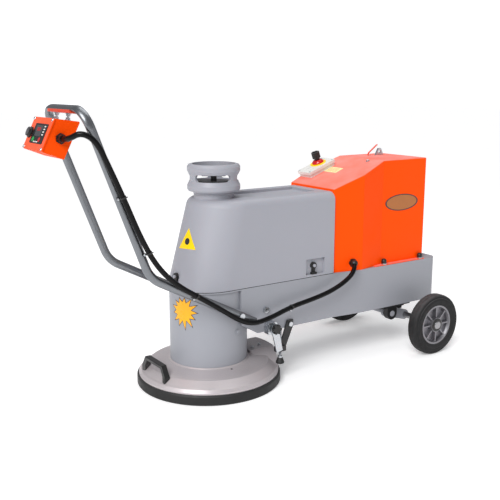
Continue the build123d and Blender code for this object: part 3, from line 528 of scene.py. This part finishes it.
class GRINDER_OT_stage(bpy.types.Operator):
    """Pale floor, soft lights and the camera"""
    bl_idname = "grinder.stage"
    bl_label = "Stage"

    def execute(self, context):
        scene = context.scene
        bm = bmesh.new()
        bmesh.ops.create_grid(bm, x_segments=2, y_segments=2, size=FLOOR_HALF_SIZE)
        floor = bpy.data.objects.new("floor", mesh_from("floor", bm))
        scene.collection.objects.link(floor)
        # Seamless paper under the machine: matt and white, and lit a little from behind to hide its edge.
        surface("studio_floor", linear("fafafa"), 0.7, 400, 20, 0.01, spread=0.01, IOR=1.45,
                Emission_Color=linear("ffffff"), Emission_Strength=0.24)
        dress(floor, "studio_floor")

        world = bpy.data.worlds.new("studio")
        world.use_nodes = True
        tree = world.node_tree
        seen = node(tree, "ShaderNodeLightPath").outputs["Is Camera Ray"]
        strength = node(tree, "ShaderNodeMapRange", {"Value": seen, "To Min": FILL_LIGHT,
                                                     "To Max": BACKDROP}).outputs[0]
        tree.nodes["Background"].inputs["Color"].default_value = linear("fbfbff")
        tree.links.new(strength, tree.nodes["Background"].inputs["Strength"])
        scene.world = world
        for name, kind, place, aim, size, power in (
                ("key", "SUN", (-4.2, -2.7, 4.2), (0.0, 0.0, 0.4), math.radians(30), 2.7),
                ("top", "AREA", (0.6, 0.6, 3.6), (0.1, 0.0, 0.4), 2.4, 42.0),
                ("side", "AREA", (3.4, -2.6, 1.8), (0.1, 0.0, 0.4), 2.0, 4.0)):
            light = bpy.data.lights.new(name, kind)
            light.energy = power
            if kind == "SUN":
                light.angle = size
            else:
                light.size = size
            lamp = bpy.data.objects.new(name, light)
            scene.collection.objects.link(lamp)
            lamp.location = place
            lamp.rotation_euler = (Vector(aim) - Vector(place)).to_track_quat("-Z", "Y").to_euler()

        lens = bpy.data.cameras.new("camera")
        lens.sensor_width = SENSOR_MM
        lens.lens = CAMERA_LENS_MM
        camera = bpy.data.objects.new("camera", lens)
        scene.collection.objects.link(camera)
        camera.location = spot(*CAMERA_AT)
        camera.rotation_euler = Vector(CAMERA_AHEAD).to_track_quat("-Z", "Y").to_euler()
        scene.camera = camera
        scene.view_settings.view_transform = "Standard"
        return {"FINISHED"}


class GRINDER_OT_cable(bpy.types.Operator):
    """Control cable from the control box to the cabinet"""
    bl_idname = "grinder.cable"
    bl_label = "Control cable"

    def execute(self, context):
        diameter = context.scene.grinder_sizes.cable_diameter
        line = smooth_route([spot(*point) for point in CABLE_POINTS])
        bm = bmesh.new()
        tube_along(bm, line, diameter / 2, steps=20)
        cable = piece("control_cable", mesh_from("control_cable", bm), "extruded_pvc", None)
        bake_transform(cable)
        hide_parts("cable_upper", "cable_flex", "cable_lower")
        return {"FINISHED"}


class GRINDER_OT_finishes(bpy.types.Operator):
    """Gives every carried CAD node its finish"""
    bl_idname = "grinder.finishes"
    bl_label = "Finishes"

    def execute(self, context):
        make_materials(context.scene.grinder_colours)
        slots = {row["node"]: row["material_slot"] for row in frame["record"]["subparts"]}
        for name, cad in frame["nodes"].items():
            dress(cad, NODE_FINISH.get(name, SLOT_FINISH[slots[name]]))
        return {"FINISHED"}


BOX_FACE = ((-580.0, 985.0), (-627.0, 887.0))
FACE_NORMAL = Vector((-0.90166, 0.0, 0.43242))
SLOPE_NORMAL = Vector((-0.35233, 0.0, 0.93588))
SLOPE_START = (481.0, 697.0)


def on_face(y=0.0, along=0.0):
    """Place on the control box's face: X across it, Y up it, Z out of it."""
    (x0, z0), (x1, z1) = BOX_FACE
    up = Vector((FACE_NORMAL.z, 0, -FACE_NORMAL.x))
    middle = Vector(((x0 + x1) / 2, y, (z0 + z1) / 2)) + up * along
    return facing(middle, FACE_NORMAL)


def on_slope(x, y):
    """Place on the cabinet's sloped lid: Y up the slope, Z out of it."""
    rise = -SLOPE_NORMAL.x / SLOPE_NORMAL.z
    return facing((x, y, SLOPE_START[1] + rise * (x - SLOPE_START[0])), SLOPE_NORMAL)


class GRINDER_OT_control_face(bpy.types.Operator):
    """Lid of the control box, its bezel, display, lamps, screws and speed dial"""
    bl_idname = "grinder.control_face"
    bl_label = "Control face"

    def execute(self, context):
        face = on_face()
        holes = [circle(8.6, -y, -20) for y in (-35, 20)]
        shaft = circle(4.6, -66, 0)
        lid = plated("control_lid", rounded_rectangle(176, 108, 5), face, 0.3, 3.7, "powder_coated_steel",
                     "handle", holes=[*holes, shaft], soft=0.9 * MM)
        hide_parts("control_panel")
        bezel = rounded_rectangle(111, 66, 4, middle=(9.5, 0))
        plated("control_bezel", bezel, face, 3.7, 5.6, "moulded_abs", "handle",
               holes=holes, soft=0.5 * MM)
        screen = rounded_rectangle(62, 36, 2, middle=(2, 9))
        plated("control_screen", screen, face, 5.6, 6.2, "display_glass", "handle",
               soft=0.2 * MM)
        bm = bmesh.new()
        for column in range(3):
            plate(bm, rounded_rectangle(7, 12, 1, middle=(12 - 11 * column, 14)), face, 6.2, 6.5)
        piece("display_digits", mesh_from("display_digits", bm), "lamp_red", "handle")
        bm = bmesh.new()
        for row in range(4):
            plate(bm, rounded_rectangle(13, 4, 1, middle=(46, 24 - 9 * row)), face, 5.6, 6.0)
        for column in range(3):
            plate(bm, rounded_rectangle(9, 4, 1, middle=(14 * column - 6, -27.5)), face, 5.6, 6.0)
        piece("bezel_marks", mesh_from("bezel_marks", bm), "vinyl_white", "handle")
        bm = bmesh.new()
        head = [(0, 3.7), (5.4, 3.7), (5.4, 5.2), (4.4, 6.6), (2.6, 6.9), (2.2, 5.4), (0, 5.4)]
        for x in (-80, 80):
            for y in (-48, 48):
                lathe(bm, head, face @ Matrix.Translation((x, y, 0)), 20)
        piece("lid_screws", mesh_from("lid_screws", bm), "zinc_plated_steel", "handle")
        dial = on_face(66)
        skirt = [(0, 4.4), (17.4, 4.4), (18.4, 5.4), (18.4, 9.4), (15.6, 11), (14.6, 16.2), (13.4, 16.6),
                 (13.0, 15.8), (0, 15.8)]
        knob = lathed("dial_skirt", skirt, dial, "moulded_abs", "speed_dial", 60)
        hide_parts("speed_knob")
        lathed("dial_cap", [(0, 15.8), (12.6, 15.8), (12.6, 16.5), (11.8, 16.9), (0, 16.9)], dial,
               "die_cast_aluminium", "speed_dial")
        pointer = [(-0.8, 3), (0.8, 3), (0.8, 11.4), (-0.8, 11.4)]
        plated("dial_pointer", pointer, dial, 16.9, 17.3, "vinyl_dark", "speed_dial")
        return {"FINISHED"}


# Name of each clip, its place along X and Z, and the body that it is screwed to.
CLIPS = (("clip_1", -411.8, 742.5, "handle"), ("clip_2", -331.6, 555.2, "handle"),
         ("clip_3", -149.0, 401.3, "handle"), ("clip_4", 241.0, 296.1, "chassis"))


class GRINDER_OT_cable_clips(bpy.types.Operator):
    """Clips that hold the control cable, each with its latch, foot and screw"""
    bl_idname = "grinder.cable_clips"
    bl_label = "Cable clips"

    def execute(self, context):
        width = context.scene.grinder_sizes.tie_width
        line = smooth_route([spot(*point) for point in CABLE_POINTS], 24)
        for name, x, z, body in CLIPS:
            aim = spot(x, 0, z)
            index = min(range(1, len(line) - 1), key=lambda i: (line[i].xz - aim.xz).length)
            centre, ahead = line[index], (line[index + 1] - line[index - 1]).normalized()
            out = Vector((0, -1, 0))
            out = (out - ahead * out.dot(ahead)).normalized()
            below = out.cross(ahead)
            turn = Matrix((below, out, ahead)).transposed().to_4x4()
            place = Matrix.Translation(centre) @ turn @ Matrix.Scale(MM, 4)
            half = width / MM / 2
            bm = bmesh.new()
            plate(bm, circle(10.6, steps=32), place, -half, half, holes=[circle(9.15, steps=32)])
            latch = rounded_rectangle(7.5, 4.5, 1, middle=(1.5, 12))
            plate(bm, latch, place, -half - 0.8, half + 0.8)
            tail = [(5, 11.4), (6.4, 12.6), (9.5, 15.5), (8.6, 16.4), (4.4, 13)]
            plate(bm, tail, place, -half + 1, half - 1)
            foot = [(-8.6, -3), (-10.2, -3), (-10.6, -7), (-18, -7.4), (-18, -9.4), (-9, -9.4)]
            plate(bm, foot, place, -half - 1.5, half + 1.5)
            piece(name, mesh_from(name, bm), "moulded_abs", body, 0.3 * MM)
            screw = place @ Matrix.Translation((-14, -7.4, 0)) @ Matrix.Rotation(-math.pi / 2, 4, "X")
            lathed(name + "_screw", [(0, -1), (3.9, -1), (4.2, 0.6), (3.5, 2.4), (1.5, 3), (0, 3)], screw,
                   "zinc_plated_steel", body, 20)
        return {"FINISHED"}


# Corners of the starburst, in and out by turns.
BURST_POINTS = 26


class GRINDER_OT_films(bpy.types.Operator):
    """Plain warning films and the oval plate, all without lettering"""
    bl_idname = "grinder.films"
    bl_label = "Films and plate"

    def execute(self, context):
        tank, tube = frame["nodes"]["water_tank"], frame["nodes"]["head_housing"]
        cover = bpy.data.objects["cabinet_cover_shell"]
        nose = facing((-130, -40, 553), (-0.86, -0.45, 0.24))
        turns = [math.radians(90 + 120 * i) for i in range(3)]
        corners = [(50 * math.cos(turn), 50 * math.sin(turn) - 4) for turn in turns]
        decal("caution_triangle", corners, nose, tank, "vinyl_yellow", "chassis")
        decal("caution_spot", circle(12, y=-2), nose, tank, "vinyl_dark", "chassis",
              lift=0.7)
        random.seed(7)
        spikes = []
        for index in range(BURST_POINTS):
            angle = 2 * math.pi * index / BURST_POINTS
            reach = random.uniform(54, 72) if index % 2 == 0 else random.uniform(35, 40)
            spikes.append((reach * math.cos(angle), reach * math.sin(angle)))
        inner = [(0.9 * x, 0.9 * y) for x, y in spikes]
        burst = facing((-150, -58, 296), (-0.93, -0.36, 0))
        decal("burst_edge", spikes, burst, tube, "vinyl_dark", "chassis")
        decal("burst_middle", inner, burst, tube, "vinyl_amber", "chassis", lift=0.7)
        place = on_slope(*LABEL_AT)
        decal("slope_label", rounded_rectangle(76, 44, 2), place, cover, "vinyl_pale", "chassis")
        bm = bmesh.new()
        for row in range(4):
            plate(bm, rounded_rectangle(58, 1.6, 0.5, middle=(0, 12 - 8 * row)), place, 0.35, 0.6)
        piece("slope_label_rules", mesh_from("slope_label_rules", bm), "vinyl_orange", "chassis")
        side = facing((842, -136, 618), (0, -1, 0))
        oval = [(x, 0.37 * y) for x, y in circle(91, steps=64)]
        small = [(0.93 * x, 0.9 * y) for x, y in oval]
        plated("oval_plate", oval, side, 0.0, 1.6, "vinyl_dark", "chassis", holes=[small],
               soft=0.4 * MM)
        plated("oval_plate_middle", small, side, 0.0, 1.0, "vinyl_bronze", "chassis")
        return {"FINISHED"}


class GRINDER_OT_isolator(bpy.types.Operator):
    """Isolator's box, yellow escutcheon and red cup"""
    bl_idname = "grinder.isolator"
    bl_label = "Isolator"

    def execute(self, context):
        box, grip = on_slope(595, 106), on_slope(611, 112)
        body = plated("isolator_case", rounded_rectangle(76, 132, 5), box, 0.3, 14.5, "moulded_abs_light",
                      "chassis", soft=1.0 * MM)
        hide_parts("isolator_box")
        plated("isolator_lid", rounded_rectangle(84, 141, 6), box, 13.5, 25.3, "moulded_abs_light",
               "chassis", soft=2.0 * MM)
        bm = bmesh.new()
        screw = [(0, 24.9), (4, 24.9), (4, 25.9), (3, 26.6), (0, 26.6)]
        for x in (-34, 34):
            for y in (-62, 62):
                lathe(bm, screw, box @ Matrix.Translation((x, y, 0)), 16)
        piece("isolator_screws", mesh_from("isolator_screws", bm), "zinc_plated_steel", "chassis")
        lathed("isolator_escutcheon", [(16, 25.2), (33, 25.2), (33, 27.4), (31.6, 28.4), (16, 28.4)], grip,
               "vinyl_yellow", "chassis")
        cup = [(8.4, 28.3), (24, 28.3), (24.6, 30), (23, 34), (18, 39.5), (15, 41.4), (8.4, 41.4)]
        lathed("isolator_cup", cup, grip, "moulded_cap_red", "chassis")
        return {"FINISHED"}


class GRINDER_OT_wheels(bpy.types.Operator):
    """Tyres with stepped shoulders, and hubs' dust rings"""
    bl_idname = "grinder.wheels"
    bl_label = "Wheels"

    def execute(self, context):
        half = [(80.5, 20), (82, 22.5), (84, 23.5), (97, 24.6), (99, 25.9), (107, 26), (110, 24.8),
                (111.5, 22.6), (117, 22.2), (120.5, 20.8), (123.4, 17.6), (124.6, 12.4), (125, 8.0),
                (124.2, 7.4), (124.2, 6.6), (125, 6.0)]
        profile = half + [(radius, -height) for radius, height in reversed(half)]
        profile.append(profile[0])
        dust = [(13.4, 22.5), (27, 22.5), (27, 24.5), (24, 25.6), (19, 25.6), (16, 24.2), (13.4, 24.2),
                (13.4, 22.5)]
        for side, name in SIDES:
            body = "wheel_" + name
            place = facing((WHEEL_X, side * WHEEL_Y, WHEEL_Z), (0, side, 0))
            tyre = lathed("tyre_" + name + "_tread", profile, place, "solid_tyre_rubber", body,
                          96)
            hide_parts("tyre_" + name)
            lathed("dust_ring_" + name, dust, place, "moulded_abs", body)
        return {"FINISHED"}


# A top edge is softened when its faces meet at more than this angle, in radians.
RIM_ANGLE = 0.6
# Weight at which the largest face alone sets a corner's shading, so that flat sheet stays flat.
LARGEST_FACE_FIRST = 100


class GRINDER_OT_sheet_metal(bpy.types.Operator):
    """Frame, cabinet, wheel arms and control box with clean flat faces and softened top edges"""
    bl_idname = "grinder.sheet_metal"
    bl_label = "Sheet metal"

    def execute(self, context):
        radius = context.scene.grinder_sizes.edge_radius
        for name, body, finish, slot, soft in (
                ("cabinet_cover", "chassis", "powder_coated_steel", "orange_enamel", 0),
                ("chassis_base", "chassis", "sprayed_enamel", "grey_enamel", radius),
                ("rear_panel", "chassis", "powder_coated_steel", "orange_enamel", 0),
                ("wheel_arms", "wheel_frame", "sprayed_enamel", "grey_enamel", radius / 2),
                ("control_box", "handle", "powder_coated_steel", "orange_enamel", 0)):
            bm = bmesh.new()
            bm.from_mesh(frame["nodes"][name].data)
            bmesh.ops.remove_doubles(bm, verts=bm.verts[:], dist=0.002 * MM)
            bmesh.ops.dissolve_limit(bm, angle_limit=math.radians(0.4), verts=bm.verts[:], edges=bm.edges[:])
            if soft:
                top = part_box(name)[1].z
                rim = [edge for edge in bm.edges
                       if len(edge.link_faces) == 2 and edge.calc_face_angle() > RIM_ANGLE
                       and all(vertex.co.z > top - 0.05 * MM for vertex in edge.verts)]
                bmesh.ops.bevel(bm, geom=rim, offset=soft, segments=3, profile=0.5, affect="EDGES",
                                clamp_overlap=True)
            made = piece(name + "_shell", mesh_from(name + "_shell", bm), finish, body, angle=28)
            flat = made.modifiers.new("flat_faces", "WEIGHTED_NORMAL")
            flat.weight = LARGEST_FACE_FIRST
            flat.keep_sharp = True
            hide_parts(name)
        return {"FINISHED"}


class GRINDER_OT_small_hardware(bpy.types.Operator):
    """Rod and screw on the roof, plug on the cover, bolt on the head tube, knob washers"""
    bl_idname = "grinder.small_hardware"
    bl_label = "Small hardware"

    def execute(self, context):
        bm = bmesh.new()
        rod = [spot(x, 70, z) for x, z in ((839, 794), (841, 803), (886, 835), (890, 836))]
        tube_along(bm, rod, 3 * MM, 12)
        piece("roof_rod", mesh_from("roof_rod", bm), "powder_coated_strap", "chassis")
        lathed("roof_screw", [(0, 0.2), (9, 0.2), (9, 1.8), (5.5, 2), (5.5, 6), (3, 7.4), (0, 7.6)],
               on_slope(717, -62), "zinc_plated_steel", "chassis", 20)
        plug = facing((-2, -162, 84.2), (0, -0.15, 1), (1, 0, 0))
        lathed("cover_plug", [(0, 0.2), (5.5, 0.2), (5.5, 1.2), (3.6, 2.2), (0, 2.4)], plug,
               "moulded_rubber", "chassis", 20)
        radial = Vector((38, -139, 0)).normalized()
        bolt = facing((*(BOLT_SEAT_R * radial).xy, 212), radial)
        bm = bmesh.new()
        lathe(bm, [(0, -0.4), (11.5, -0.4), (11.5, 1.6), (0, 1.6)], bolt, 28)
        plate(bm, circle(8.6, steps=6), bolt, 1.6, 7.2)
        piece("tube_bolt", mesh_from("tube_bolt", bm), "sprayed_enamel", "chassis", 0.7 * MM)
        for side, name in SIDES:
            lathed("knob_washer_" + name, [(6.2, 0.2), (17.5, 0.2), (17.5, 2.2), (6.2, 2.2)],
                   facing((KNOB_X, side * KNOB_Y, KNOB_Z), (0, side, 0)), "zinc_plated_steel",
                   "clamp_knob_" + name, 32)
        return {"FINISHED"}


class GRINDER_OT_feet(bpy.types.Operator):
    """Threaded rod and rubber cone of each levelling foot"""
    bl_idname = "grinder.feet"
    bl_label = "Levelling feet"

    def execute(self, context):
        thread = [(0, 84)]
        for turn in range(74):
            height = 90 + THREAD_PITCH * turn
            thread += [(4.35, height), (4.95, height + THREAD_PITCH / 2)]
        thread += [(4.2, 202.5), (0, 203.5)]
        cone = [(0, 64), (12, 64), (15.4, 65.4), (16, 67), (16, 71.5), (14.6, 74), (9.8, 86.5), (8.6, 88),
                (0, 88)]
        for side, name in SIDES:
            body = "foot_" + name
            place = facing((FOOT_X, side * FOOT_Y, 0), (0, 0, 1), (1, 0, 0))
            pad = lathed("foot_pad_" + name, cone, place, "moulded_rubber", body, 40)
            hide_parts("levelling_foot_" + name)
            bm = bmesh.new()
            lathe(bm, thread, place, 20)
            plate(bm, circle(9.8, steps=6), place, 88, 93)
            piece("foot_rod_" + name, mesh_from("foot_rod_" + name, bm), "zinc_plated_steel", body,
                  angle=25)
        return {"FINISHED"}


class GRINDER_OT_seams(bpy.types.Operator):
    """Thin dark ring that paints the shade in the seam between the tank and the frame"""
    bl_idname = "grinder.seams"
    bl_label = "Seams"

    def execute(self, context):
        turns = [math.radians(6 * i) for i in range(31)]
        arc = [(-3 - TANK_HALF_WIDTH * math.sin(turn), -TANK_HALF_WIDTH * math.cos(turn)) for turn in turns]
        outline = [(TANK_REAR, -TANK_HALF_WIDTH), *arc, (TANK_REAR, TANK_HALF_WIDTH)]
        inner = [(474, -139), *[(-3 + (x + 3) * 0.95, y * 0.95) for x, y in arc], (474, 139)]
        bm = bmesh.new()
        plate(bm, outline, facing((0, 0, 0), (0, 0, 1), (0, 1, 0)), TANK_FOOT, 371.9, holes=[inner])
        # A thin black ring with the rubber finish, as painted shade in the seam under the tank.
        piece("tank_seam_shade", mesh_from("tank_seam_shade", bm), "moulded_rubber", "chassis")
        return {"FINISHED"}


class GRINDER_OT_fan_guard(bpy.types.Operator):
    """Wire guard over the cabinet's fan, and the louvre hoods above it"""
    bl_idname = "grinder.fan_guard"
    bl_label = "Fan guard"

    def execute(self, context):
        bm = bmesh.new()
        for radius in (14, 26, 38, 50):
            ring = [spot(FAN_X, FAN_Y + radius * math.cos(turn), FAN_Z + radius * math.sin(turn))
                    for turn in (math.radians(10 * i) for i in range(37))]
            tube_along(bm, ring, 1.1 * MM, 8)
        for quarter in range(4):
            turn = math.radians(45 + 90 * quarter)
            spoke = [spot(x, FAN_Y + reach * math.cos(turn), FAN_Z + reach * math.sin(turn))
                     for x, reach in ((982.6, 10), (982.6, 56), (979.6, 58))]
            tube_along(bm, spoke, 1.3 * MM, 8)
        piece("fan_guard", mesh_from("fan_guard", bm), "zinc_plated_steel", "chassis")
        bm = bmesh.new()
        place = facing((0, 0, 0), (0, -1, 0))
        for row in range(9):
            z = LOUVRE_FOOT + LOUVRE_PITCH * row
            hood = [(979.3, z + 6.5), (979.3, z + 8.5), (986, z + 1), (985, z)]
            prism(bm, hood, place, -LOUVRE_HALF_WIDTH, LOUVRE_HALF_WIDTH)
        piece("louvre_hoods", mesh_from("louvre_hoods", bm), "powder_coated_steel", "chassis")
        return {"FINISHED"}


class GRINDER_PT_pieces(bpy.types.Panel):
    """Buttons that make the pieces, and the sizes and colours they use"""
    bl_idname = "GRINDER_PT_pieces"
    bl_label = "Floor grinder"
    bl_space_type = "VIEW_3D"
    bl_region_type = "UI"
    bl_category = "Grinder"

    def draw(self, context):
        for operator in OPERATORS:
            self.layout.operator(operator.bl_idname)
        for group in (context.scene.grinder_colours, context.scene.grinder_sizes):
            for key in group.bl_rna.properties.keys():
                if key not in ("rna_type", "name"):
                    self.layout.prop(group, key)


OPERATORS = (GRINDER_OT_finishes, GRINDER_OT_stage, GRINDER_OT_sheet_metal, GRINDER_OT_cable,
             GRINDER_OT_cable_clips, GRINDER_OT_control_face, GRINDER_OT_isolator, GRINDER_OT_films,
             GRINDER_OT_wheels, GRINDER_OT_feet, GRINDER_OT_small_hardware, GRINDER_OT_seams,
             GRINDER_OT_fan_guard)
CLASSES = (GrinderColours, GrinderSizes, *OPERATORS, GRINDER_PT_pieces)


def register():
    for cls in CLASSES:
        bpy.utils.register_class(cls)
    bpy.types.Scene.grinder_colours = bpy.props.PointerProperty(type=GrinderColours)
    bpy.types.Scene.grinder_sizes = bpy.props.PointerProperty(type=GrinderSizes)


def unregister():
    del bpy.types.Scene.grinder_sizes
    del bpy.types.Scene.grinder_colours
    for cls in reversed(CLASSES):
        bpy.utils.unregister_class(cls)


def main():
    register()
    for operator in OPERATORS:
        group, name = operator.bl_idname.split(".")
        getattr(getattr(bpy.ops, group), name)()


if __name__ == "__main__":
    main()
